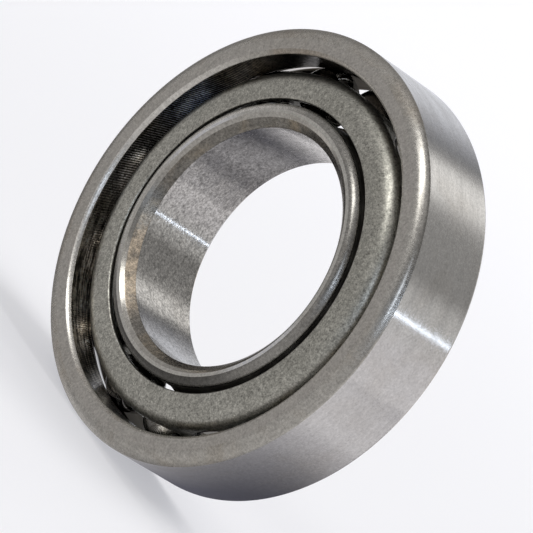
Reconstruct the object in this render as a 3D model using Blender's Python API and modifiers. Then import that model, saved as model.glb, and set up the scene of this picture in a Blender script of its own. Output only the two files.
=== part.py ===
# Single-row angular contact ball bearing, 30 x 55 x 13 mm.
# Blender 4.5 script. Metres, +Z up. The bearing axis is the Y axis and the origin is the bearing's centre.
# The front side (cage flange, high outer shoulder, relieved inner ring) faces -Y. The bearing stands on its rim.
import bpy
import math
from mathutils import Matrix, Vector

MM = 0.001

# ---- driving dimensions, millimetres ---------------------------------------------------------------------------
OUTER_D = 55.0            # outside diameter
BORE_D = 30.0             # bore diameter
WIDTH = 13.0              # width of both rings
BALL_D = 7.144            # 9/32 in
BALL_COUNT = 15
PITCH_D = 42.5            # ball pitch circle, midway between bore and outside diameter
CONTACT_DEG = 25.0        # nominal contact angle
GROOVE_RATIO = 0.525      # groove radius over ball diameter
RACE_CLEARANCE = 0.05     # running clearance between a ball and each raceway
BALL_PHASE_DEG = 0.5      # ring angle of the first ball

CHAMFER_OUT_R, CHAMFER_OUT_A = 1.62, 1.15     # outer ring's outer corners, radial and axial
CHAMFER_POWER = 1.45      # the outer corners are chamfers with rounded edges
CHAMFER_BORE_R, CHAMFER_BORE_A = 1.40, 1.35   # inner ring's bore corners
CHAMFER_BORE_POWER = 1.50

OUT_LAND_R = 24.00        # high shoulder land of the outer ring, front side
OUT_LAND_CHAMFER = 0.50
OUT_RELIEF_R = 24.72      # outer ring beside its raceway, back side (counterbored)
OUT_RELIEF_FACE_R = 24.95 # the same at the back face
OUT_RELIEF_CHAMFER = 0.30

IN_RELIEF_R = 17.85       # inner ring beside its raceway, front side (relieved)
IN_RELIEF_CORNER_R, IN_RELIEF_CORNER_A, IN_RELIEF_CORNER_POWER = 1.00, 0.90, 1.70
IN_LAND_R = 18.60         # high shoulder land of the inner ring, back side
IN_LAND_CORNER = 0.45

CAGE_IN_R = 18.50         # inner edge of the cage's flange
CAGE_OUT_R = 22.50        # outside of the cage's wall
CAGE_T = 0.90             # sheet thickness
CAGE_BEND_R = 2.00        # outside bend radius of the rim
CAGE_DEPTH = 0.72         # flange recessed behind the rings' front faces
CAGE_BACK_DEPTH = 11.50   # back edge of the wall, from the rings' front faces
CAGE_TAIL_T = 0.90
POCKET_R = 3.66           # radius of each window, cut radially through the wall

STEPS = 90                # facets round a full turn: six for each ball
STEP_OFFSET_DEG = 180.0 / STEPS   # half a facet, so that the bearing stands on a facet and not on an edge

# A ring angle is measured in the XZ plane from +X towards +Z.
Y_FRONT = -WIDTH / 2.0


def ball_angle(i):
    """Ring angle of ball i (0 based), in radians."""
    return math.radians(BALL_PHASE_DEG + 360.0 * i / BALL_COUNT)


# ---- scene ------------------------------------------------------------------------------------------------------
for ob in list(bpy.data.objects):
    bpy.data.objects.remove(ob, do_unlink=True)

scene = bpy.context.scene
parts = bpy.data.collections.new("ball_bearing")
cutters = bpy.data.collections.new("cutters")
scene.collection.children.link(parts)
scene.collection.children.link(cutters)


def material(name, colour, roughness, metallic):
    m = bpy.data.materials.new(name)
    m.use_nodes = True
    b = m.node_tree.nodes["Principled BSDF"]
    b.inputs["Base Color"].default_value = (*colour, 1.0)
    b.inputs["Roughness"].default_value = roughness
    b.inputs["Metallic"].default_value = metallic
    m.diffuse_color = (*colour, 1.0)
    return m


MAT_OUTER = material("outer_ring_steel", (0.56, 0.55, 0.54), 0.30, 1.0)
MAT_INNER = material("inner_ring_steel", (0.57, 0.56, 0.55), 0.28, 1.0)
MAT_CAGE = material("cage_steel", (0.36, 0.36, 0.33), 0.55, 1.0)
MAT_BALL = material("ball_steel", (0.68, 0.68, 0.69), 0.08, 1.0)


def corner(r0, y0, r1, y1, bulge, n=3, power=2.0):
    """Rounded corner from (r0, y0) to (r1, y1): a quarter ellipse, or flatter in its middle with a smaller power.
    bulge 'r': the curve leaves (r0, y0) radially. bulge 'y': it leaves axially."""
    pts = []
    for k in range(n + 1):
        t = math.pi / 2 * k / n
        s, c = math.sin(t) ** (2.0 / power), 1 - max(0.0, math.cos(t)) ** (2.0 / power)
        if bulge == "r":
            pts.append((r0 + (r1 - r0) * s, y0 + (y1 - y0) * c))
        else:
            pts.append((r0 + (r1 - r0) * c, y0 + (y1 - y0) * s))
    return pts


def groove(rc, yc, rad, r_a, side_a, r_b, side_b, sign, n=8):
    """Arc of a raceway groove between the radii r_a (front) and r_b (back).
    sign +1: the outer ring's groove, opening towards the axis. sign -1: the inner ring's."""
    def half_angle(r):
        return math.acos(max(-1.0, min(1.0, sign * (r - rc) / rad)))
    a0 = -half_angle(r_a) * side_a
    a1 = half_angle(r_b) * side_b
    return [(rc + sign * rad * math.cos(a0 + (a1 - a0) * k / n), yc + rad * math.sin(a0 + (a1 - a0) * k / n))
            for k in range(n + 1)]


ALPHA = math.radians(CONTACT_DEG)
GROOVE_R = GROOVE_RATIO * BALL_D
OFFSET = GROOVE_R - BALL_D / 2.0 - RACE_CLEARANCE
PITCH_R = PITCH_D / 2.0


def clean(pts, tol=1e-6):
    out = []
    for p in pts:
        if not out or math.hypot(p[0] - out[-1][0], p[1] - out[-1][1]) > tol:
            out.append(p)
    if math.hypot(out[0][0] - out[-1][0], out[0][1] - out[-1][1]) <= tol:
        out.pop()
    return out


def outer_profile():
    yb = WIDTH / 2.0
    ro = OUTER_D / 2.0
    pts = []
    pts += corner(ro - CHAMFER_OUT_R, Y_FRONT, ro, Y_FRONT + CHAMFER_OUT_A, "r", 4, CHAMFER_POWER)
    pts += corner(ro, yb - CHAMFER_OUT_A, ro - CHAMFER_OUT_R, yb, "y", 4, CHAMFER_POWER)
    pts += [(OUT_RELIEF_FACE_R + OUT_RELIEF_CHAMFER, yb), (OUT_RELIEF_FACE_R, yb - OUT_RELIEF_CHAMFER)]
    rc = PITCH_R - OFFSET * math.cos(ALPHA)
    yc = OFFSET * math.sin(ALPHA)
    arc = groove(rc, yc, GROOVE_R, OUT_LAND_R, 1, OUT_RELIEF_R, 1, +1)
    pts += list(reversed(arc))
    pts += [(OUT_LAND_R, Y_FRONT + OUT_LAND_CHAMFER), (OUT_LAND_R + OUT_LAND_CHAMFER, Y_FRONT)]
    return clean(pts)


def inner_profile():
    yb = WIDTH / 2.0
    rb = BORE_D / 2.0
    pts = []
    pts += corner(IN_RELIEF_R - IN_RELIEF_CORNER_R, Y_FRONT, IN_RELIEF_R, Y_FRONT + IN_RELIEF_CORNER_A, "r", 3,
                  IN_RELIEF_CORNER_POWER)
    rc = PITCH_R + OFFSET * math.cos(ALPHA)
    yc = -OFFSET * math.sin(ALPHA)
    pts += groove(rc, yc, GROOVE_R, IN_RELIEF_R, 1, IN_LAND_R, 1, -1)
    pts += corner(IN_LAND_R, yb - IN_LAND_CORNER, IN_LAND_R - IN_LAND_CORNER, yb, "y", 2)
    pts += corner(rb + CHAMFER_BORE_R, yb, rb, yb - CHAMFER_BORE_A, "r", 3, CHAMFER_BORE_POWER)
    pts += corner(rb, Y_FRONT + CHAMFER_BORE_A, rb + CHAMFER_BORE_R, Y_FRONT, "y", 3, CHAMFER_BORE_POWER)
    return clean(pts)


def cage_profile():
    yf = Y_FRONT + CAGE_DEPTH
    yb = Y_FRONT + CAGE_BACK_DEPTH
    ri = CAGE_OUT_R - CAGE_T
    pts = [(CAGE_IN_R, yf)]
    pts += corner(CAGE_OUT_R - CAGE_BEND_R, yf, CAGE_OUT_R, yf + CAGE_BEND_R, "r", 4)
    pts += [(CAGE_OUT_R, yb), (ri, yb)]
    inner_bend = CAGE_BEND_R - CAGE_T
    pts += corner(ri, yf + CAGE_T + inner_bend, ri - inner_bend, yf + CAGE_T, "y", 3)
    pts += [(CAGE_IN_R, yf + CAGE_T)]
    return clean(pts)


def turned(name, profile, mat):
    """Closed profile of (radius, axial) points in millimetres, turned about the Y axis with a Screw modifier."""
    area = sum(p[0] * q[1] - q[0] * p[1] for p, q in zip(profile, profile[1:] + profile[:1])) / 2.0
    if area < 0:
        profile = list(reversed(profile))
    me = bpy.data.meshes.new(name)
    # the modifier turns about the object's own Z axis: the axial coordinate runs down its outer side, top to bottom
    verts = [(r * MM, 0.0, -y * MM) for r, y in profile]
    n = len(verts)
    me.from_pydata(verts, [(k, (k + 1) % n) for k in range(n)], [])
    ob = bpy.data.objects.new(name, me)
    parts.objects.link(ob)
    # own +X -> ring angle, own -Z -> world +Y
    ob.rotation_euler = (math.radians(90.0), 0.0, 0.0)
    mod = ob.modifiers.new("turn", "SCREW")
    mod.axis = "Z"
    mod.angle = math.radians(360.0)
    mod.steps = STEPS
    mod.render_steps = STEPS
    mod.use_merge_vertices = True
    mod.merge_threshold = 0.00001
    mod.use_smooth_shade = True
    ob.data.materials.append(mat)
    return ob


def realise(ob):
    """Apply the modifiers and the rotation, and shade smooth with sharp corners."""
    bpy.context.view_layer.update()
    dg = bpy.context.evaluated_depsgraph_get()
    me = bpy.data.meshes.new_from_object(ob.evaluated_get(dg))
    me.transform(ob.matrix_world)
    old = ob.data
    ob.modifiers.clear()
    ob.data = me
    ob.matrix_world = Matrix.Identity(4)
    bpy.data.meshes.remove(old)
    me.name = ob.name
    me.shade_smooth()
    me.set_sharp_from_angle(angle=math.radians(28.0))
    return ob


def spin_mesh(ob, deg):
    ob.data.transform(Matrix.Rotation(math.radians(deg), 4, "Y"))


outer = realise(turned("outer_ring", outer_profile(), MAT_OUTER))
spin_mesh(outer, STEP_OFFSET_DEG)
inner = realise(turned("inner_ring", inner_profile(), MAT_INNER))
spin_mesh(inner, STEP_OFFSET_DEG)

# ---- cage: turned sheet section with one radial window for each ball --------------------------------------------
cage = realise(turned("cage", cage_profile(), MAT_CAGE))
# facets are placed so that every window is cut in the same way
spin_mesh(cage, -math.degrees(ball_angle(0)))

bpy.ops.mesh.primitive_cylinder_add(vertices=24, radius=POCKET_R * MM, depth=5.0 * MM)
proto = bpy.context.active_object
proto_mesh = proto.data
bpy.data.objects.remove(proto, do_unlink=True)
for i in range(BALL_COUNT):
    a = ball_angle(i)
    radial = Vector((math.cos(a), 0.0, math.sin(a)))
    axis = Vector((0.0, 1.0, 0.0))
    tangent = axis.cross(radial)
    # the cutter's own Z runs radially
    rot = Matrix((tangent, axis, radial)).transposed().to_4x4()
    cut = bpy.data.objects.new("pocket_cutter_%02d" % (i + 1), proto_mesh)
    cutters.objects.link(cut)
    cut.matrix_world = Matrix.Translation(radial * 22.2 * MM) @ rot
    cut.hide_render = True
    cut.display_type = "WIRE"
    mod = cage.modifiers.new("pocket_%02d" % (i + 1), "BOOLEAN")
    mod.operation = "DIFFERENCE"
    mod.solver = "EXACT"
    mod.object = cut
bpy.context.view_layer.update()
cutters.hide_viewport = False

# ---- balls ------------------------------------------------------------------------------------------------------
bpy.ops.mesh.primitive_uv_sphere_add(segments=16, ring_count=10, radius=BALL_D / 2.0 * MM)
ball_proto = bpy.context.active_object
ball_mesh = ball_proto.data
ball_mesh.name = "ball"
bpy.data.objects.remove(ball_proto, do_unlink=True)
ball_mesh.shade_smooth()
ball_mesh.materials.append(MAT_BALL)
for i in range(BALL_COUNT):
    a = ball_angle(i)
    radial = Vector((math.cos(a), 0.0, math.sin(a)))
    # own Z lies on the ball's spin axis, square to the contact line
    spin = (radial * math.sin(ALPHA) + Vector((0.0, 1.0, 0.0)) * math.cos(ALPHA)).normalized()
    side = spin.cross(radial).normalized()
    other = side.cross(spin).normalized()
    rot = Matrix((other, side, spin)).transposed().to_4x4()
    ob = bpy.data.objects.new("ball_%02d" % (i + 1), ball_mesh)
    parts.objects.link(ob)
    ob.matrix_world = Matrix.Translation(radial * PITCH_R * MM) @ rot

bpy.context.view_layer.update()
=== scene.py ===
"""Looks for an open single-row angular contact ball bearing: fine rings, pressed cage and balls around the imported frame."""
import math

import bmesh
import bpy
from mathutils import Matrix, Vector

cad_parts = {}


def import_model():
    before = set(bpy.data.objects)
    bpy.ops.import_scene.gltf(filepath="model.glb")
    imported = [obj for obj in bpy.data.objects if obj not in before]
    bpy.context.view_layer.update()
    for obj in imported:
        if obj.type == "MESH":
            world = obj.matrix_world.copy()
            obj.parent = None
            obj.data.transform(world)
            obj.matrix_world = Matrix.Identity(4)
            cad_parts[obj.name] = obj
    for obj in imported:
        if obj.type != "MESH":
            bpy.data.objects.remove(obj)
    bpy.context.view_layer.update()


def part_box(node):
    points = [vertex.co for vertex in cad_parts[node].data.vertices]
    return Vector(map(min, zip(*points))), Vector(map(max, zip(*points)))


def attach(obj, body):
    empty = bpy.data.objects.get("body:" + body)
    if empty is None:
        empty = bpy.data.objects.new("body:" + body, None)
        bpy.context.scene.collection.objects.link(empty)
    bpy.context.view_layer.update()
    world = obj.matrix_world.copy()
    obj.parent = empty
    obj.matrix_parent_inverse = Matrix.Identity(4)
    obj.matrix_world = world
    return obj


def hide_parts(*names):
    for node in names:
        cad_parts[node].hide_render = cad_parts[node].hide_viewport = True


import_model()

MM = 0.001
TAU = 2.0 * math.pi

# ---- the frame's sizes, millimetres (the same as the CAD's) --------------------------------------------------------
(olo, ohi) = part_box("outer_ring")
WIDTH = (ohi[1] - olo[1]) / MM
OUTER_R, BORE_R = 27.5, 15.0
BALL_D, BALL_COUNT, PITCH_R = 7.144, 15, 21.25
CONTACT = math.radians(25.0)
GROOVE_R = 0.525 * BALL_D
Y0, Y1 = -WIDTH / 2.0, WIDTH / 2.0
SEG = 336                      # facets round a ring, a multiple of the ball count


def ball_centre(i):
    lo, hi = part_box("ball_%02d" % (i + 1))
    return (Vector(lo) + Vector(hi)) / 2.0


c0 = ball_centre(0)
PHASE = math.atan2(c0.z, c0.x)

# ---- node helpers --------------------------------------------------------------------------------------------------


class Nodes:
    """Small helper to write shader node trees."""

    def __init__(self, name):
        self.m = bpy.data.materials.new(name)
        self.m.use_nodes = True
        self.t = self.m.node_tree
        self.t.nodes.clear()
        self.out = self.t.nodes.new("ShaderNodeOutputMaterial")
        self.b = self.t.nodes.new("ShaderNodeBsdfPrincipled")
        self.t.links.new(self.b.outputs[0], self.out.inputs[0])
        co = self.t.nodes.new("ShaderNodeTexCoord")
        self.co = co.outputs["Object"]
        sep = self.t.nodes.new("ShaderNodeSeparateXYZ")
        self.t.links.new(self.co, sep.inputs[0])
        self.x, self.y, self.z = sep.outputs

    def link(self, a, b):
        self.t.links.new(a, b)

    def grain(self, col, small, large, size=1.0):
        """Makes the colour lighter and darker in specks of about 0.25 mm and in patches of about 0.7 mm."""
        a = self.math("MULTIPLY", self.math("SUBTRACT", self.noise(self.co, 3700.0 * size, 2.0, 0.6), 0.5), small)
        b = self.math("MULTIPLY", self.math("SUBTRACT", self.noise(self.co, 1500.0 * size, 2.0, 0.6), 0.5), large)
        f = self.math("MAXIMUM", self.math("ADD", self.math("ADD", a, b), 1.0), 0.05)
        n = self.t.nodes.new("ShaderNodeVectorMath")
        n.operation = "SCALE"
        self.t.links.new(col, n.inputs[0])
        self.t.links.new(f, n.inputs["Scale"])
        return n.outputs[0]

    def put(self, sock, v):
        if isinstance(v, bpy.types.NodeSocket):
            self.t.links.new(v, sock)
        elif isinstance(v, (tuple, list)) and len(v) == 3 and sock.type == "RGBA":
            sock.default_value = (*v, 1.0)
        else:
            sock.default_value = v

    def math(self, op, a, b=None, c=None, clamp=False):
        n = self.t.nodes.new("ShaderNodeMath")
        n.operation = op
        n.use_clamp = clamp
        for s, v in zip(n.inputs, (a, b, c)):
            if v is not None:
                self.put(s, v)
        return n.outputs[0]

    def xyz(self, x, y, z):
        n = self.t.nodes.new("ShaderNodeCombineXYZ")
        for s, v in zip(n.inputs, (x, y, z)):
            self.put(s, v)
        return n.outputs[0]

    def noise(self, vec, scale, detail=2.0, rough=0.5, dist=0.0):
        n = self.t.nodes.new("ShaderNodeTexNoise")
        n.noise_dimensions = "3D"
        self.put(n.inputs["Vector"], vec)
        n.inputs["Scale"].default_value = scale
        n.inputs["Detail"].default_value = detail
        n.inputs["Roughness"].default_value = rough
        n.inputs["Distortion"].default_value = dist
        return n.outputs["Fac"]

    def remap(self, v, a, b, c, d, smooth=False):
        n = self.t.nodes.new("ShaderNodeMapRange")
        n.interpolation_type = "SMOOTHSTEP" if smooth else "LINEAR"
        self.put(n.inputs[0], v)
        for k, w in enumerate((a, b, c, d)):
            n.inputs[k + 1].default_value = w
        return n.outputs[0]

    def mix(self, f, a, b):
        n = self.t.nodes.new("ShaderNodeMix")
        n.data_type = "RGBA"
        n.clamp_factor = True
        self.put(n.inputs[0], f)
        self.put(n.inputs[6], a)
        self.put(n.inputs[7], b)
        return n.outputs[2]

    def bump(self, height, distance, strength=1.0, normal=None):
        n = self.t.nodes.new("ShaderNodeBump")
        n.inputs["Strength"].default_value = strength
        n.inputs["Distance"].default_value = distance
        self.put(n.inputs["Height"], height)
        if normal is not None:
            self.put(n.inputs["Normal"], normal)
        return n.outputs[0]

    def set(self, **kw):
        for k, v in kw.items():
            self.put(self.b.inputs[k.replace("_", " ")], v)

    def turned(self, spin, lift):
        """Coordinates that vary slowly round the axis and quickly across it: marks left by turning or grinding."""
        return self.xyz(self.math("MULTIPLY", self.x, spin), self.math("MULTIPLY", self.y, lift),
                        self.math("MULTIPLY", self.z, spin))

    def radius(self):
        return self.math("SQRT", self.math("ADD", self.math("MULTIPLY", self.x, self.x),
                                           self.math("MULTIPLY", self.z, self.z)))

    def ringed(self, spin, lift):
        """The same for a flat face: quick in radius, slow round the axis."""
        r = self.radius()
        return self.xyz(self.math("MULTIPLY", self.math("DIVIDE", self.x, r), spin),
                        self.math("MULTIPLY", r, lift),
                        self.math("MULTIPLY", self.math("DIVIDE", self.z, r), spin))

    def lobe(self, deg, a, b, top):
        """Rises from 0 to top on the side of the ring at deg: a and b are cosines of the half angles."""
        turn = self.math("SUBTRACT", self.math("ARCTAN2", self.z, self.x), math.radians(deg))
        return self.remap(self.math("COSINE", turn), a, b, 0.0, top, True)

    def tangent(self):
        n = self.t.nodes.new("ShaderNodeTangent")
        n.direction_type = "RADIAL"
        n.axis = "Y"
        return n.outputs[0]


def ground_steel(name, base, warm, rough, aniso, grain=1.0, lines="turned", coat=0.0, blotch=1.0, lift=1.0,
                 painted_sheen=None, painted_highlight=None, painted_shade=None, rust=None):
    """Ground bearing steel: fine grain, grinding lines round the axis, faint stains and a thin film of oil, with an
    optional painted highlight, painted sheen or painted shade on one side.
    """
    k = Nodes(name)
    fine = k.noise(k.co, 5600.0, 2.0, 0.6)
    mid = k.noise(k.co, 2100.0, 3.0, 0.6)
    if lines == "turned":
        streak = k.noise(k.turned(180.0, 9000.0), 1.0, 3.0, 0.6)
        wide = k.noise(k.turned(60.0, 1500.0), 1.0, 2.0, 0.5)
    else:
        streak = k.noise(k.ringed(5.0, 9000.0), 1.0, 3.0, 0.6)
        wide = k.noise(k.ringed(2.0, 1600.0), 1.0, 2.0, 0.5)
    stain = k.noise(k.co, 130.0, 4.0, 0.6, 0.6)
    col = k.mix(k.remap(stain, 0.45, 0.75, 0.0, 0.5 * blotch, True), base, warm)
    dark = tuple(c * 0.80 for c in base)
    col = k.mix(k.remap(streak, 0.35, 0.75, 0.0, 0.35), col, dark)
    col = k.mix(k.remap(fine, 0.35, 0.75, 0.0, 0.40 * grain), col, tuple(min(1.0, c * 1.30) for c in base))
    col = k.mix(k.remap(mid, 0.50, 0.80, 0.0, 0.35 * grain), col, tuple(c * 0.62 for c in base))
    if painted_highlight is not None:
        # painted highlight: lighter on one side of the ring
        highlight_turn = k.math("COSINE", k.math("SUBTRACT", k.math("ARCTAN2", k.z, k.x), math.radians(painted_highlight)))
        col = k.mix(k.remap(highlight_turn, 0.35, 0.85, 0.0, 0.95, True), col, (0.86, 0.85, 0.83))
    if painted_sheen is not None:
        # painted highlight: two opposite cool lobes, where light catches a turned face
        two = k.math("MULTIPLY", k.math("SUBTRACT", k.math("ARCTAN2", k.z, k.x), math.radians(painted_sheen)), 2.0)
        lobe = k.remap(k.math("COSINE", two), 0.70, 1.0, 0.0, 1.0, True)
        col = k.mix(lobe, col, tuple(min(0.98, c * f) for c, f in zip(base, (1.36, 1.40, 1.54))))
    if painted_shade is not None:
        # painted shade: darker on one side of the ring
        col = k.mix(k.lobe(painted_shade[0], 0.45, 0.95, painted_shade[1]), col, tuple(c * 0.25 for c in base))
    metal = 1.0
    if rust is not None:
        # a thin brown stain, broken up, on one side
        spots = k.remap(k.noise(k.co, 700.0, 4.0, 0.65, 0.4), 0.40, 0.58, 0.35, 1.0, True)
        stained = k.math("MULTIPLY", k.lobe(rust, 0.88, 0.985, 0.75), spots)
        col = k.mix(stained, col, (0.74, 0.61, 0.46))
        metal = k.math("SUBTRACT", 1.0, k.math("MULTIPLY", stained, 0.85))
    col = k.grain(col, 1.0 * grain, 0.45 * grain)
    r = k.math("ADD", k.remap(fine, 0.3, 0.7, -0.05 * grain, 0.05 * grain), rough)
    r = k.math("ADD", r, k.remap(wide, 0.3, 0.7, -0.03, 0.03))
    r = k.math("ADD", r, k.remap(stain, 0.4, 0.75, 0.0, 0.05 * blotch))
    h = k.math("ADD", k.math("MULTIPLY", fine, 0.45 * grain), k.math("MULTIPLY", streak, 0.8))
    h = k.math("ADD", h, k.math("MULTIPLY", mid, 0.5 * grain))
    k.set(Base_Color=col, Metallic=metal, Roughness=r, Normal=k.bump(h, 1.1e-6 * lift))
    if aniso:
        k.set(Anisotropic=aniso, Anisotropic_Rotation=0.25, Tangent=k.tangent())
    if coat:
        k.set(Coat_Weight=coat, Coat_Roughness=0.05, Coat_IOR=1.45)
    return k.m


def polished_land():
    """High shoulder land of the outer ring: fine slanted chatter marks, dark with old oil between them, smeared on
    the side that was handled."""
    k = Nodes("outer_land_steel")
    ang = k.math("ARCTAN2", k.z, k.x)
    drift = k.noise(k.co, 210.0, 3.0, 0.6)
    smear = k.remap(k.noise(k.co, 42.0, 1.0, 0.5), 0.44, 0.56, 0.0, 1.0, True)
    side = k.remap(k.math("COSINE", k.math("ADD", ang, math.radians(128.0))), 0.80, 0.98, 0.0, 1.0, True)
    smear = k.math("ADD", k.math("MULTIPLY", smear, 0.25), side)
    warp = k.math("MULTIPLY", k.math("SUBTRACT", drift, 0.5), k.math("ADD", k.math("MULTIPLY", smear, 13.0), 4.0))
    phase = k.math("ADD", k.math("MULTIPLY", ang, 472.0), k.math("MULTIPLY", k.y, 5600.0))
    wave = k.math("SINE", k.math("ADD", phase, warp))
    film = k.noise(k.co, 90.0, 3.0, 0.55, 0.8)
    fine = k.noise(k.co, 5200.0, 2.0, 0.6)
    specks = k.noise(k.co, 2600.0, 2.0, 0.5)
    handled = k.remap(k.math("COSINE", k.math("ADD", ang, math.radians(128.0))), 0.76, 0.98, 0.0, 1.0, True)
    bright = k.mix(k.remap(film, 0.40, 0.62, 0.0, 1.0, True), (0.88, 0.87, 0.85), (0.70, 0.62, 0.50))
    # painted glint: a narrow bluish highlight on one side of the land
    painted_blue_glint = k.remap(k.math("COSINE", k.math("SUBTRACT", ang, math.radians(166.0))), 0.975, 1.0, 0.0, 0.9, True)
    bright = k.mix(painted_blue_glint, bright, (0.66, 0.78, 1.0))
    bright = k.mix(handled, bright, (0.98, 0.90, 0.80))
    # painted shade: the land near-black on one side of the ring
    painted_dark_side = k.lobe(108.0, 0.74, 0.97, 0.93)
    bright = k.mix(painted_dark_side, bright, (0.06, 0.05, 0.04))
    oil = k.math("MULTIPLY", k.remap(wave, -0.55, 0.35, 0.0, 0.96, True),
                 k.math("SUBTRACT", 1.0, k.math("MULTIPLY", handled, k.remap(film, 0.40, 0.60, 0.90, 0.45, True))))
    col = k.mix(oil, bright, (0.022, 0.018, 0.014))
    strokes = k.noise(k.turned(260.0, 2900.0), 1.0, 2.0, 0.6)
    strokes = k.math("MULTIPLY", k.remap(strokes, 0.47, 0.53, 0.0, 0.88, True), handled)
    col = k.mix(strokes, col, (0.03, 0.025, 0.02))
    col = k.mix(k.remap(fine, 0.50, 0.75, 0.0, 0.45), col, (0.09, 0.08, 0.065))
    col = k.mix(k.remap(specks, 0.62, 0.70, 0.0, 0.9), col, (0.02, 0.018, 0.015))
    col = k.grain(col, 1.5, 2.4)
    r = k.math("ADD", k.remap(drift, 0.35, 0.7, 0.26, 0.38), k.math("MULTIPLY", wave, 0.03))
    h = k.math("ADD", k.math("MULTIPLY", wave, -1.0), k.math("MULTIPLY", fine, 0.6))
    k.set(Base_Color=col, Metallic=1.0, Roughness=r, Normal=k.bump(h, 4.0e-6))
    return k.m


def raceway_steel():
    """Honed raceway under a film of oil: smooth, with faint lines along the track. Its colour is kept very dark as
    painted shade for the inside of the bearing.
    """
    k = Nodes("raceway_steel")
    streak = k.noise(k.turned(90.0, 5200.0), 1.0, 2.0, 0.5)
    oil = k.noise(k.co, 160.0, 3.0, 0.6, 0.5)
    col = k.mix(k.remap(streak, 0.3, 0.7, 0.0, 1.0), (0.09, 0.085, 0.08), (0.13, 0.125, 0.115))
    col = k.mix(k.remap(oil, 0.42, 0.66, 0.0, 0.7, True), col, (0.05, 0.045, 0.038))
    # polished by the balls along their track, which the slanted contact puts beside the high land
    edge = k.math("MULTIPLY", k.remap(k.y, -0.05e-3, -0.40e-3, 0.0, 1.0, True), k.remap(k.radius(), 0.0215, 0.0225, 0.0, 1.0))
    col = k.mix(edge, col, (0.62, 0.61, 0.59))
    k.set(Base_Color=col, Metallic=1.0, Roughness=k.remap(streak, 0.3, 0.7, 0.06, 0.12),
          Specular_Tint=k.mix(edge, (0.30, 0.29, 0.28), (1.0, 1.0, 1.0)), Normal=k.bump(streak, 0.5e-6))
    return k.m


def shoulder_steel():
    """The turned shoulders beside the balls, dark with oil and kept dark as painted shade between the parts."""
    k = Nodes("shoulder_steel")
    streak = k.noise(k.turned(120.0, 4200.0), 1.0, 2.0, 0.5)
    col = k.mix(k.remap(streak, 0.3, 0.7, 0.0, 1.0), (0.13, 0.125, 0.115), (0.24, 0.23, 0.215))
    k.set(Base_Color=col, Metallic=1.0, Roughness=k.remap(streak, 0.3, 0.7, 0.42, 0.55),
          Specular_Tint=(0.30, 0.29, 0.28), Normal=k.bump(streak, 1.5e-6))
    return k.m


def cage_steel():
    """Pressed sheet steel, tumbled and matt: orange-peel grain, soft mottling, a few dark pits."""
    k = Nodes("cage_pressed_steel")
    grain = k.noise(k.co, 5000.0, 3.0, 0.65)
    peel = k.noise(k.co, 1500.0, 3.0, 0.6)
    cloud = k.noise(k.co, 170.0, 4.0, 0.6, 0.4)
    pits = k.noise(k.co, 3300.0, 1.0, 0.4)
    col = k.mix(k.remap(cloud, 0.38, 0.68, 0.0, 1.0, True), (0.56, 0.56, 0.525), (0.63, 0.63, 0.595))
    # painted shade: darker towards one side of the ring
    shaded_side = k.math("COSINE", k.math("ADD", k.math("ARCTAN2", k.z, k.x), math.radians(110.0)))
    col = k.mix(k.remap(shaded_side, -0.9, 0.9, 0.30, 0.0, True), col, (0.36, 0.355, 0.32))
    col = k.mix(k.remap(grain, 0.36, 0.75, 0.0, 0.75), col, (0.35, 0.35, 0.32))
    # painted shade: the outer edge of the flange darkened on the far side of the ring
    rim = k.math("MULTIPLY", k.remap(k.radius(), 0.0207, 0.0217, 0.0, 1.0, True), k.lobe(158.0, 0.35, 0.90, 0.70))
    col = k.mix(rim, col, (0.10, 0.10, 0.098))
    col = k.grain(col, 1.8, 1.2, 1.3)
    col = k.mix(k.remap(pits, 0.70, 0.78, 0.0, 0.7), col, (0.09, 0.085, 0.08))
    r = k.math("ADD", k.remap(peel, 0.3, 0.7, 0.30, 0.40), k.remap(grain, 0.3, 0.7, -0.04, 0.06))
    h = k.math("ADD", k.math("MULTIPLY", grain, 1.0), k.math("MULTIPLY", peel, 1.6))
    k.set(Base_Color=col, Metallic=1.0, Roughness=r, Normal=k.bump(h, 3.2e-6))
    return k.m


def ball_steel():
    k = Nodes("ball_chrome_steel")
    a = k.noise(k.co, 900.0, 3.0, 0.6)
    b = k.noise(k.co, 5000.0, 1.0, 0.5)
    col = k.mix(k.remap(a, 0.35, 0.7, 0.0, 1.0), (0.46, 0.455, 0.45), (0.38, 0.375, 0.37))
    k.set(Base_Color=col, Metallic=1.0, Roughness=k.remap(a, 0.35, 0.7, 0.03, 0.07), Normal=k.bump(b, 0.12e-6))
    return k.m


# ---- turned pieces -------------------------------------------------------------------------------------------------


def arc(r0, y0, r1, y1, lead, n=10, power=2.0):
    """Rounded corner from (r0, y0) to (r1, y1), leaving along the radius ('r') or along the axis ('y'): a quarter
    ellipse, or flatter in its middle with a smaller power."""
    pts = []
    for k in range(n + 1):
        t = math.pi / 2 * k / n
        s, c = math.sin(t) ** (2 / power), 1 - max(0.0, math.cos(t)) ** (2 / power)
        u, v = (s, c) if lead == "r" else (c, s)
        pts.append((r0 + (r1 - r0) * u, y0 + (y1 - y0) * v))
    return pts


def bend(r0, y0, r1, y1, deg, n=16):
    """Corner that leaves (r0, y0) along the axis and meets the face at (r1, y1) with a slope of deg."""
    rc, yc = r0, y1 + (y0 - y1) / abs(y0 - y1) * (r1 - r0) * math.tan(math.radians(deg))
    pts = []
    for k in range(n + 1):
        t = k / n
        a, b, c = (1 - t) ** 2, 2 * t * (1 - t), t * t
        pts.append((a * r0 + b * rc + c * r1, a * y0 + b * yc + c * y1))
    return pts


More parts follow.
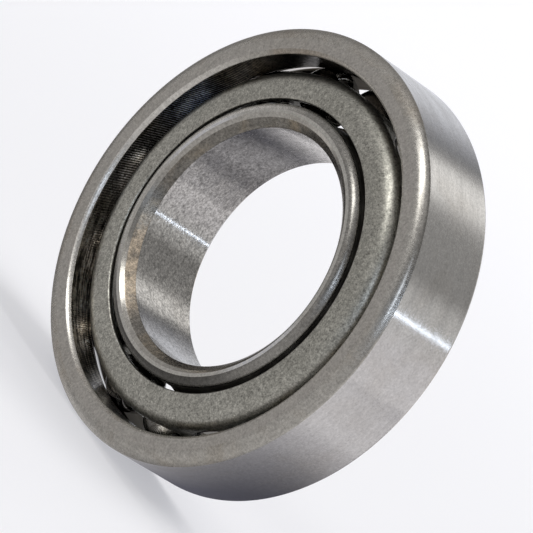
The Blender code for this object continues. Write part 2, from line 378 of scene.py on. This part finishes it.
def line(a, b, step=0.6, guard=0.03):
    """Straight run with a guard point close to each end, so that flats stay flat under smooth shading."""
    d = math.hypot(b[0] - a[0], b[1] - a[1])
    ts = [0.0]
    if d > 4 * guard:
        n = max(1, round((d - 2 * guard) / step))
        ts += [guard / d + (1 - 2 * guard / d) * i / n for i in range(n + 1)]
    ts.append(1.0)
    return [(a[0] + (b[0] - a[0]) * t, a[1] + (b[1] - a[1]) * t) for t in ts]


def groove(rc, yc, rad, r_a, r_b, sign, n=26):
    a0 = -math.acos(max(-1, min(1, sign * (r_a - rc) / rad)))
    a1 = math.acos(max(-1, min(1, sign * (r_b - rc) / rad)))
    return [(rc + sign * rad * math.cos(a0 + (a1 - a0) * i / n), yc + rad * math.sin(a0 + (a1 - a0) * i / n))
            for i in range(n + 1)]


def turned(name, runs, mats, angles=None):
    """A closed turned body. runs: list of (points, material index, sharp at its start)."""
    pts, tags, sharp = [], [], []
    for p, m, s in runs:
        for i, q in enumerate(p[:-1]):
            pts.append(q)
            tags.append(m)
            sharp.append(bool(s) and i == 0)
    n = len(pts)
    area = sum(pts[i][0] * pts[(i + 1) % n][1] - pts[(i + 1) % n][0] * pts[i][1] for i in range(n)) / 2
    bm = bmesh.new()
    rings = []
    for r, y in pts:
        rings.append([bm.verts.new((r * MM * math.cos(TAU * k / SEG), y * MM, r * MM * math.sin(TAU * k / SEG)))
                      for k in range(SEG)])
    for i in range(n):
        a, b = rings[i], rings[(i + 1) % n]
        for k in range(SEG):
            j = (k + 1) % SEG
            quad = (a[k], b[k], b[j], a[j]) if area > 0 else (a[k], a[j], b[j], b[k])
            f = bm.faces.new(quad)
            f.material_index = tags[i]
            f.smooth = True
    bm.normal_update()
    for i in range(n):
        if sharp[i]:
            for k in range(SEG):
                e = bm.edges.get((rings[i][k], rings[i][(k + 1) % SEG]))
                if e:
                    e.smooth = False
    me = bpy.data.meshes.new(name)
    bm.to_mesh(me)
    print(name, "volume mm3", round(bm.calc_volume(signed=True) * 1e9, 1))
    bm.free()
    for m in mats:
        me.materials.append(m)
    ob = bpy.data.objects.new(name, me)
    bpy.context.scene.collection.objects.link(ob)
    return ob


OFFSET = GROOVE_R - BALL_D / 2 - 0.012
LAND_R, LAND_C = 24.00, 0.50
CH_R, CH_A, CH_P = 1.62, 1.15, 1.55        # the outer corners: chamfers with rounded edges
IN_R, IN_C, IN_CA = 17.85, 1.00, 0.90       # relieved shoulder of the inner ring and its corner
BC_R, BC_A = 1.40, 1.35                     # bore corners


def make_outer():
    runs = []
    runs.append((line((LAND_R + LAND_C, Y0), (OUTER_R - CH_R, Y0)), 1, False))
    runs.append((arc(OUTER_R - CH_R, Y0, OUTER_R, Y0 + CH_A, "r", 20, CH_P), 2, False))
    runs.append((line((OUTER_R, Y0 + CH_A), (OUTER_R, Y1 - CH_A)), 0, False))
    runs.append((arc(OUTER_R, Y1 - CH_A, OUTER_R - CH_R, Y1, "y", 20, CH_P), 2, False))
    runs.append((line((OUTER_R - CH_R, Y1), (25.25, Y1), 0.3), 1, False))
    runs.append((arc(25.25, Y1, 24.95, Y1 - 0.30, "r", 5), 2, False))
    rc, yc = PITCH_R - OFFSET * math.cos(CONTACT), OFFSET * math.sin(CONTACT)
    g = groove(rc, yc, GROOVE_R, LAND_R, 24.72, +1)
    g.reverse()
    runs.append((line((24.95, Y1 - 0.30), g[0]), 6, False))
    runs.append((g, 4, True))
    runs.append((line(g[-1], (LAND_R, Y0 + LAND_C), 0.4), 3, True))
    runs.append((arc(LAND_R, Y0 + LAND_C, LAND_R + LAND_C, Y0, "y", 12, 1.35), 5, False))
    return turned("outer_ring_fine", runs, [M_OD, M_FACE, M_CHAMFER, M_LAND, M_RACE, M_LANDCH, M_SHOULDER])


def make_inner():
    runs = []
    runs.append((line((BORE_R + BC_R, Y0), (IN_R - IN_C, Y0), 0.2), 1, False))
    runs.append((arc(IN_R - IN_C, Y0, IN_R, Y0 + IN_CA, "r", 14, 1.7), 2, False))
    rc, yc = PITCH_R + OFFSET * math.cos(CONTACT), -OFFSET * math.sin(CONTACT)
    g = groove(rc, yc, GROOVE_R, IN_R, 18.60, -1)
    runs.append((line((IN_R, Y0 + IN_CA), g[0], 0.5), 5, False))
    runs.append((g, 4, True))
    runs.append((line(g[-1], (18.60, Y1 - 0.45), 0.5), 1, True))
    runs.append((arc(18.60, Y1 - 0.45, 18.15, Y1, "y", 8), 2, False))
    runs.append((line((18.15, Y1), (BORE_R + BC_R, Y1), 0.4), 1, False))
    runs.append((line((BORE_R + BC_R, Y1), (BORE_R + BC_R - 0.48, Y1 - 0.34), 0.2), 6, False))
    runs.append((bend(BORE_R, Y1 - BC_A, BORE_R + BC_R - 0.48, Y1 - 0.34, 46.0)[::-1], 3, False))
    runs.append((line((BORE_R, Y1 - BC_A), (BORE_R, Y0 + BC_A)), 0, False))
    runs.append((bend(BORE_R, Y0 + BC_A, BORE_R + BC_R - 0.48, Y0 + 0.34, 46.0), 3, False))
    runs.append((line((BORE_R + BC_R - 0.48, Y0 + 0.34), (BORE_R + BC_R, Y0), 0.2), 6, False))
    return turned("inner_ring_fine", runs, [M_BORE, M_INFACE, M_INCORNER, M_BORECH, M_RACE, M_SHOULDER, M_FACET])


# ---- pressed cage --------------------------------------------------------------------------------------------------
CAGE_IN, CAGE_OUT, CAGE_T, CAGE_BEND = 18.50, 22.50, 0.90, 2.00
CAGE_REACH = 2.75               # how far the bend runs out over the flange
CAGE_Y0, CAGE_Y1, POCKET_R = Y0 + 0.72, Y0 + 11.50, 3.66
N_SIDE, N_FRONT = 12, 16        # divisions of one window's sector along the axis and round the ring


def make_cage():
    """One sector for each window: two wall skins with a round window joined by a rounded rim, then the bend and the
    flange turned from the same divisions, so that the whole cage is one closed skin."""
    bm = bmesh.new()
    half = math.pi / BALL_COUNT
    yf = CAGE_Y0 + CAGE_BEND
    yb = CAGE_Y1 - 0.2
    cut_edges = []

    def P(r, th, y):
        return bm.verts.new((r * MM * math.cos(th), y * MM, r * MM * math.sin(th)))

    def frame_points():
        pts = []
        for i in range(N_FRONT):
            pts.append((-half + 2 * half * i / N_FRONT, yf))
        for i in range(N_SIDE):
            pts.append((half, yf + (yb - yf) * i / N_SIDE))
        for i in range(N_FRONT):
            pts.append((half - 2 * half * i / N_FRONT, yb))
        for i in range(N_SIDE):
            pts.append((-half, yb - (yb - yf) * i / N_SIDE))
        return pts

    fp = frame_points()
    m = len(fp)
    # polar angles of the window's points follow the frame's points
    ph = [math.atan2(y, th * CAGE_OUT) for th, y in fp]

    def circle(rad, r):
        return [(math.asin(rad * math.cos(a) / r), rad * math.sin(a)) for a in ph]

    for s in range(BALL_COUNT):
        base = PHASE + TAU * s / BALL_COUNT
        layers = []
        for skin, r in enumerate((CAGE_OUT, CAGE_OUT - CAGE_T)):
            rows = [[P(r, base + th, y) for th, y in fp]]
            c = circle(POCKET_R + 0.10, r)
            for f in (0.5, 0.85):
                rows.append([P(r, base + p[0] * (1 - f) + q[0] * f, p[1] * (1 - f) + q[1] * f) for p, q in zip(fp, c)])
            rows.append([P(r, base + q[0], q[1]) for q in c])
            layers.append(rows)
            for a, b in zip(rows, rows[1:]):
                for i in range(m):
                    j = (i + 1) % m
                    quad = (a[i], b[i], b[j], a[j])
                    f = bm.faces.new(quad if skin == 0 else tuple(reversed(quad)))
                    f.smooth = True
        # the window's rim: rounded at both skins
        rim = [layers[0][-1]]
        for dr, grow in ((0.03, 0.03), (0.10, 0.0), (CAGE_T - 0.10, 0.0), (CAGE_T - 0.03, 0.03)):
            r = CAGE_OUT - dr
            rim.append([P(r, base + q[0], q[1]) for q in circle(POCKET_R + grow, r)])
        rim.append(layers[1][-1])
        for a, b in zip(rim, rim[1:]):
            for i in range(m):
                j = (i + 1) % m
                f = bm.faces.new((a[i], b[i], b[j], a[j]))
                f.smooth = True

    # the bend, the flange and its rounded inner edge, then back along the inside to the wall
    e = 0.28
    prof = arc(CAGE_OUT, yf, CAGE_OUT - CAGE_REACH, CAGE_Y0, "y", 20)
    prof += line((CAGE_OUT - CAGE_REACH, CAGE_Y0), (CAGE_IN + e, CAGE_Y0), 0.35)[1:]
    prof += arc(CAGE_IN + e, CAGE_Y0, CAGE_IN, CAGE_Y0 + e, "r", 5)[1:]
    prof += line((CAGE_IN, CAGE_Y0 + e), (CAGE_IN, CAGE_Y0 + CAGE_T - e), 0.3)[1:]
    prof += arc(CAGE_IN, CAGE_Y0 + CAGE_T - e, CAGE_IN + e, CAGE_Y0 + CAGE_T, "y", 5)[1:]
    ri = CAGE_OUT - CAGE_T
    prof += line((CAGE_IN + e, CAGE_Y0 + CAGE_T), (ri - CAGE_REACH + CAGE_T, CAGE_Y0 + CAGE_T), 0.35)[1:]
    prof += arc(ri - CAGE_REACH + CAGE_T, CAGE_Y0 + CAGE_T, ri, yf, "r", 12)[1:]
    tail = arc(CAGE_OUT, yb, CAGE_OUT - 0.2, CAGE_Y1, "y", 4)
    tail += line((CAGE_OUT - 0.2, CAGE_Y1), (ri + 0.2, CAGE_Y1), 0.3)[1:]
    tail += arc(ri + 0.2, CAGE_Y1, ri, yb, "r", 4)[1:]
    n = BALL_COUNT * N_FRONT
    for p, flip in ((prof, False), (tail, True)):
        rings = [[P(r, PHASE - half + TAU * k / n, y) for k in range(n)] for r, y in p]
        for a, b in zip(rings, rings[1:]):
            for k in range(n):
                j = (k + 1) % n
                quad = (a[k], a[j], b[j], b[k])
                f = bm.faces.new(quad if flip else tuple(reversed(quad)))
                f.smooth = True
    bmesh.ops.remove_doubles(bm, verts=bm.verts, dist=2e-6)
    bmesh.ops.recalc_face_normals(bm, faces=bm.faces)
    me = bpy.data.meshes.new("cage_fine")
    bm.to_mesh(me)
    bad = sum(1 for ed in bm.edges if len(ed.link_faces) != 2)
    print("cage: open or odd edges", bad, "volume mm3", round(bm.calc_volume(signed=True) * 1e9, 1))
    bm.free()
    me.materials.append(M_CAGE)
    ob = bpy.data.objects.new("cage_fine", me)
    bpy.context.scene.collection.objects.link(ob)
    return ob


def make_ball(i, mesh):
    ob = bpy.data.objects.new("ball_%02d_fine" % (i + 1), mesh)
    ob.location = ball_centre(i)
    bpy.context.scene.collection.objects.link(ob)
    return ob


M_OD = ground_steel("outer_diameter_steel", (0.60, 0.590, 0.585), (0.56, 0.53, 0.50), 0.15, 1.0, 0.6, "turned", 0.3)
M_FACE = ground_steel("ring_face_steel", (0.57, 0.555, 0.535), (0.51, 0.485, 0.45), 0.34, 0.0, 1.0, "ringed")
# painted sheen: two cool highlight lobes on the inner face
M_INFACE = ground_steel("inner_face_steel", (0.66, 0.655, 0.635), (0.60, 0.58, 0.54), 0.32, 0.0, 0.9, "ringed", 0.0, 1.0, 1.0, -18.0)
M_CHAMFER = ground_steel("corner_steel", (0.56, 0.550, 0.530), (0.42, 0.36, 0.29), 0.24, 0.0, 1.0, "turned", 0.0, 1.3)
# painted highlight on one side, painted shade on another, and a dark base colour as painted shade in the corner
M_INCORNER = ground_steel("inner_corner_steel", (0.36, 0.355, 0.345), (0.30, 0.275, 0.24), 0.24, 0.0, 1.2, "turned", 0.0, 1.0, 1.0,
                          None, 172.0, (-80.0, 0.88))
# painted shade on one side of the bore corner; a brown stain on another
M_BORECH = ground_steel("bore_corner_steel", (0.25, 0.240, 0.225), (0.50, 0.40, 0.27), 0.26, 0.0, 1.8, "turned", 0.0, 1.6, 1.0,
                        None, None, (5.0, 0.30), -131.0)
# painted shade on one side of the facet
M_FACET = ground_steel("bore_facet_steel", (0.52, 0.510, 0.490), (0.44, 0.41, 0.36), 0.20, 0.0, 1.0, "turned",
                       0.0, 1.0, 1.0, None, None, (8.0, 0.40))
M_BORE = ground_steel("bore_steel", (0.45, 0.440, 0.430), (0.39, 0.365, 0.34), 0.16, 1.0, 2.2, "turned", 0.3, 1.0, 1.0)
# painted highlight on one side of the land's corner
M_LANDCH = ground_steel("land_corner_steel", (0.50, 0.485, 0.46), (0.34, 0.27, 0.20), 0.26, 0.0, 1.0, "turned", 0.0, 1.5, 1.0, None, -158.0)
M_LAND = polished_land()
M_RACE = raceway_steel()
M_SHOULDER = shoulder_steel()
M_CAGE = cage_steel()
M_BALL = ball_steel()

outer = make_outer()
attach(outer, "outer_ring")
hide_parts("outer_ring")

inner = make_inner()
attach(inner, "inner_ring")
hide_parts("inner_ring")

cage = make_cage()
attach(cage, "cage")
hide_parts("cage")

bm = bmesh.new()
bmesh.ops.create_icosphere(bm, subdivisions=5, radius=BALL_D / 2 * MM)
for f in bm.faces:
    f.smooth = True
ball_mesh = bpy.data.meshes.new("ball_fine")
bm.to_mesh(ball_mesh)
bm.free()
ball_mesh.materials.append(M_BALL)
for i in range(BALL_COUNT):
    ball = make_ball(i, ball_mesh)
    node = "ball_%02d" % (i + 1)
    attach(ball, node)
    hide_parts(node)

# ---- camera --------------------------------------------------------------------------------------------------------
# The bearing's axis makes 45.7 degrees with the view, the camera looks down 10 degrees and is rolled.
TH = math.radians(14.2)
N = Vector((0.60072, -0.38862, 0.69865))      # bearing axis in the view: right, up, away
A = Vector((0.58660, -0.37949, -0.71546))     # square to the axis, towards the camera
B = N.cross(A)


def world(n, a, b):
    return Vector((math.cos(TH) * a - math.sin(TH) * b, n, math.sin(TH) * a + math.cos(TH) * b))


right = world(N.x, A.x, B.x)
up = world(N.y, A.y, B.y)
away = world(N.z, A.z, B.z)
cam_data = bpy.data.cameras.new("camera")
cam_data.sensor_width = 36.0
cam_data.lens = 5631.0 / 533.0 * 36.0
cam_data.clip_start = 0.01
cam_data.clip_end = 100.0
cam = bpy.data.objects.new("camera", cam_data)
bpy.context.scene.collection.objects.link(cam)
R = OUTER_R * MM
pos = Vector((0, Y0 * MM, 0)) - R * (right * (-0.1516 + 0.0021) + up * (0.1069 - 0.0021) + away * 23.634)
cam.matrix_world = Matrix((
    (right.x, up.x, -away.x, pos.x),
    (right.y, up.y, -away.y, pos.y),
    (right.z, up.z, -away.z, pos.z),
    (0, 0, 0, 1)))
bpy.context.scene.camera = cam

# ---- floor, backdrop, light ----------------------------------------------------------------------------------------
bpy.ops.mesh.primitive_plane_add(size=8.0, location=(0, 0, -OUTER_R * MM - 0.00002))
floor = bpy.context.active_object
floor.name = "floor"
floor.visible_glossy = False
floor.visible_shadow = False
k = Nodes("pale_floor")
# painted light: the floor glows, brighter away from the object, so that it runs out into the white of the room
away_xy = k.math("SQRT", k.math("ADD", k.math("MULTIPLY", k.x, k.x), k.math("MULTIPLY", k.y, k.y)))
k.set(Base_Color=(0.46, 0.46, 0.465), Roughness=0.9, Metallic=0.0, Emission_Color=(0.93, 0.94, 1.0),
      Emission_Strength=k.math("ADD", k.remap(away_xy, 0.05, 0.50, 0.455, 0.60, True), k.remap(away_xy, 0.4, 1.6, 0.0, 0.30, True)))
floor.data.materials.append(k.m)

# The floor as the steel mirrors it: the room's paint, dimmed in the shadow behind and under the ring.
bpy.ops.mesh.primitive_plane_add(size=1.0, location=(0, 0, -OUTER_R * MM - 0.0002))
painted_shade = bpy.context.active_object
painted_shade.name = "floor_shadow_in_the_steel"
painted_shade.visible_camera = False
painted_shade.visible_diffuse = False
k = Nodes("floor_shadow")


def step(v, a, b):
    return k.remap(v, a, b, 0.0, 1.0, True)


def oval(cx, cy, rx, ry):
    u = k.math("DIVIDE", k.math("SUBTRACT", k.x, cx), rx)
    v = k.math("DIVIDE", k.math("SUBTRACT", k.y, cy), ry)
    return k.math("ADD", k.math("MULTIPLY", u, u), k.math("MULTIPLY", v, v))


ring_shadow = oval(0.006, 0.0285, 0.029, 0.031)
lit = k.math("ADD", k.remap(ring_shadow, 0.45, 1.15, 0.0, 0.50), k.remap(ring_shadow, 1.0, 2.6, 0.0, 0.50))
hole = k.math("MULTIPLY", k.math("SUBTRACT", 1.0, step(oval(0.010, 0.040, 0.023, 0.012), 0.4, 1.5)), 0.60)
lit = k.math("ADD", lit, hole)
along = k.math("ADD", k.math("MULTIPLY", k.x, 0.77), k.math("MULTIPLY", k.y, 0.64))
across = k.math("SUBTRACT", k.math("MULTIPLY", k.y, 0.77), k.math("MULTIPLY", k.x, 0.64))
far = k.math("MULTIPLY", k.math("MULTIPLY", step(across, 0.002, 0.014), step(across, 0.060, 0.040)),
             k.math("MULTIPLY", step(along, 0.030, 0.050), step(along, 0.300, 0.180)))
lit = k.math("MULTIPLY", lit, k.math("SUBTRACT", 1.0, k.math("MULTIPLY", far, 0.50)))
lit = k.math("MAXIMUM", lit, k.math("SUBTRACT", 1.0, step(k.y, -0.009, -0.001)))
shade = k.mix(lit, (0.115, 0.118, 0.145), (1.0, 1.0, 1.0))
k.t.nodes.remove(k.b)
clear = k.t.nodes.new("ShaderNodeBsdfTransparent")
k.put(clear.inputs[0], shade)
k.t.links.new(clear.outputs[0], k.out.inputs[0])
painted_shade.data.materials.append(k.m)


class Studio:
    """The room as the steel sees it: a plain room painted on the world, with soft panels of light."""

    def __init__(self):
        wd = bpy.data.worlds.new("studio")
        bpy.context.scene.world = wd
        wd.use_nodes = True
        self.t = wd.node_tree
        self.t.nodes.clear()
        self.out = self.t.nodes.new("ShaderNodeOutputWorld")
        co = self.t.nodes.new("ShaderNodeTexCoord")
        self.dir = co.outputs["Generated"]
        sep = self.t.nodes.new("ShaderNodeSeparateXYZ")
        self.t.links.new(self.dir, sep.inputs[0])
        self.x, self.y, self.z = sep.outputs

    put = Nodes.put
    math = Nodes.math
    remap = Nodes.remap
    mix = Nodes.mix

    def dot(self, v):
        n = self.t.nodes.new("ShaderNodeVectorMath")
        n.operation = "DOT_PRODUCT"
        self.t.links.new(self.dir, n.inputs[0])
        n.inputs[1].default_value = tuple(v)
        return n.outputs["Value"]

    def ramp(self, fac, stops):
        n = self.t.nodes.new("ShaderNodeValToRGB")
        n.color_ramp.interpolation = "LINEAR"
        el = n.color_ramp.elements
        while len(el) < len(stops):
            el.new(0.5)
        for e, (p, c) in zip(el, stops):
            e.position = p
        for e, (p, c) in zip(el, stops):
            e.color = (*c, 1.0)
        self.t.links.new(fac, n.inputs[0])
        return n.outputs[0]

    def panel(self, col, centre, along, half_w, half_h, soft_w, soft_h, radiance):
        """Adds a soft-edged rectangle of light in the direction of centre; half sizes are tangents of angles."""
        c = Vector(centre).normalized()
        h = Vector(along)
        h = (h - c * h.dot(c)).normalized()
        w = h.cross(c)
        d = self.math("MAXIMUM", self.dot(c), 0.02)
        u = self.math("ABSOLUTE", self.math("DIVIDE", self.dot(w), d))
        v = self.math("ABSOLUTE", self.math("DIVIDE", self.dot(h), d))
        m = self.math("MULTIPLY", self.remap(u, half_w - soft_w, half_w + soft_w, 1.0, 0.0, True),
                      self.remap(v, half_h - soft_h, half_h + soft_h, 1.0, 0.0, True))
        m = self.math("MULTIPLY", m, self.remap(self.dot(c), 0.05, 0.15, 0.0, 1.0))
        return self.mix(m, col, radiance)


st = Studio()
ang = st.math("ARCTAN2", st.z, st.x)
turn = st.math("ADD", st.math("DIVIDE", ang, TAU), 0.5)


def at(deg):
    return (deg + 180.0) / 360.0


GREY = (1.0, 0.965, 0.93)


def tone(v, tint=GREY):
    return tuple(v * c for c in tint)


FLOOR = (1.0, 0.98, 1.0)
COOL = (0.98, 1.0, 1.06)
WARM = (1.0, 0.985, 0.95)
back = st.ramp(turn, [
    (at(-180), tone(0.90, COOL)), (at(-158), tone(1.05, FLOOR)), (at(-138), tone(1.0, FLOOR)),
    (at(-110), tone(0.80, FLOOR)), (at(-40), tone(0.84, FLOOR)), (at(-14), tone(0.88, FLOOR)),
    (at(12), tone(0.82, FLOOR)), (at(31), tone(0.74, WARM)), (at(41), tone(0.70, WARM)), (at(50), tone(0.36, WARM)),
    (at(57), tone(0.37, WARM)), (at(82), tone(0.36, WARM)), (at(88), tone(0.50, WARM)), (at(93), tone(0.98, WARM)),
    (at(98), tone(1.22, WARM)), (at(111), tone(1.24, WARM)), (at(116), tone(0.34, WARM)), (at(125), tone(0.22, COOL)),
    (at(136), tone(0.50, COOL)), (at(150), tone(0.82, COOL)), (at(180), tone(0.90, COOL))])
side = st.ramp(turn, [
    (at(-180), tone(0.22)), (at(-156), tone(0.20)), (at(-149), tone(0.42)), (at(-140), tone(0.84)),
    (at(-128), tone(0.80)), (at(-112), tone(0.50)), (at(-60), tone(0.52)), (at(-10), tone(0.64)), (at(14), tone(0.58)),
    (at(28), tone(0.30, (0.92, 0.98, 1.08))), (at(45), tone(0.17)), (at(72), tone(0.19)), (at(95), tone(0.25)),
    (at(130), tone(0.34)), (at(150), tone(0.27)), (at(180), tone(0.26))])
front = st.ramp(turn, [
    (at(-180), tone(0.40)), (at(-140), tone(0.40)), (at(-100), tone(0.47)), (at(-20), tone(0.49)),
    (at(5), tone(0.34)), (at(24), tone(0.38, (0.90, 0.98, 1.1))), (at(42), tone(0.20)), (at(58), tone(0.20)),
    (at(72), tone(0.38)), (at(86), tone(0.50)), (at(125), tone(0.44)), (at(180), tone(0.40))])
room = st.mix(st.remap(st.y, -0.35, 0.05, 0.0, 1.0, True), front, side)
room = st.mix(st.remap(st.y, 0.50, 0.66, 0.0, 1.0, True), room, back)
# the large window of light overhead, in front
room = st.panel(room, (-0.165, -0.71, 0.684), (0.1, 0.72, 0.68), 0.12, 0.24, 0.05, 0.08, (4.2, 4.1, 3.85))
# a smaller cool one at the right, lower
room = st.panel(room, (0.575, -0.70, 0.42), (0.1, 0.5, 0.84), 0.08, 0.14, 0.06, 0.10, (1.9, 2.05, 2.25))
bg = st.t.nodes.new("ShaderNodeBackground")
st.put(bg.inputs[0], room)
plain = st.t.nodes.new("ShaderNodeBackground")
plain.inputs[0].default_value = (0.97, 0.97, 0.975, 1.0)
lp = st.t.nodes.new("ShaderNodeLightPath")
mx = st.t.nodes.new("ShaderNodeMixShader")
st.t.links.new(lp.outputs["Is Camera Ray"], mx.inputs[0])
st.t.links.new(bg.outputs[0], mx.inputs[1])
st.t.links.new(plain.outputs[0], mx.inputs[2])
st.t.links.new(mx.outputs[0], st.out.inputs[0])


def fill(name, pos, size, watts, colour):
    """Soft light for the floor alone: the steel doesn't mirror it."""
    li = bpy.data.lights.new(name, "AREA")
    li.shape = "SQUARE"
    li.size = size
    li.energy = watts
    li.color = colour
    ob = bpy.data.objects.new(name, li)
    z = Vector(pos).normalized()
    x = Vector((0, 1, 0)).cross(z).normalized()
    y = z.cross(x)
    p = Vector(pos)
    ob.matrix_world = Matrix(((x.x, y.x, z.x, p.x), (x.y, y.y, z.y, p.y), (x.z, y.z, z.z, p.z), (0, 0, 0, 1)))
    ob.visible_camera = False
    ob.visible_glossy = False
    bpy.context.scene.collection.objects.link(ob)


fill("fill_top", (0.6, 0.3, 1.6), 1.2, 22.0, (1.0, 0.99, 1.0))

# a narrow cool tube parallel to the bearing's axis, for the steel alone
tube = bpy.data.lights.new("cool_tube", "AREA")
tube.shape = "RECTANGLE"
tube.size, tube.size_y = 6.0, 0.034
tube.energy = 4.2 * math.pi * 6.0 * 0.036
tube.color = (0.86, 0.98, 1.16)
tube_ob = bpy.data.objects.new("cool_tube", tube)
z = Vector((0.8826, 0.0, 0.4701))
x = Vector((0, 1, 0))
y = z.cross(x)
p = z * 2.0
tube_ob.matrix_world = Matrix(((x.x, y.x, z.x, p.x), (x.y, y.y, z.y, p.y), (x.z, y.z, z.z, p.z), (0, 0, 0, 1)))
tube_ob.visible_camera = False
tube_ob.visible_diffuse = False
bpy.context.scene.collection.objects.link(tube_ob)

bpy.context.scene.view_settings.view_transform = "Standard"
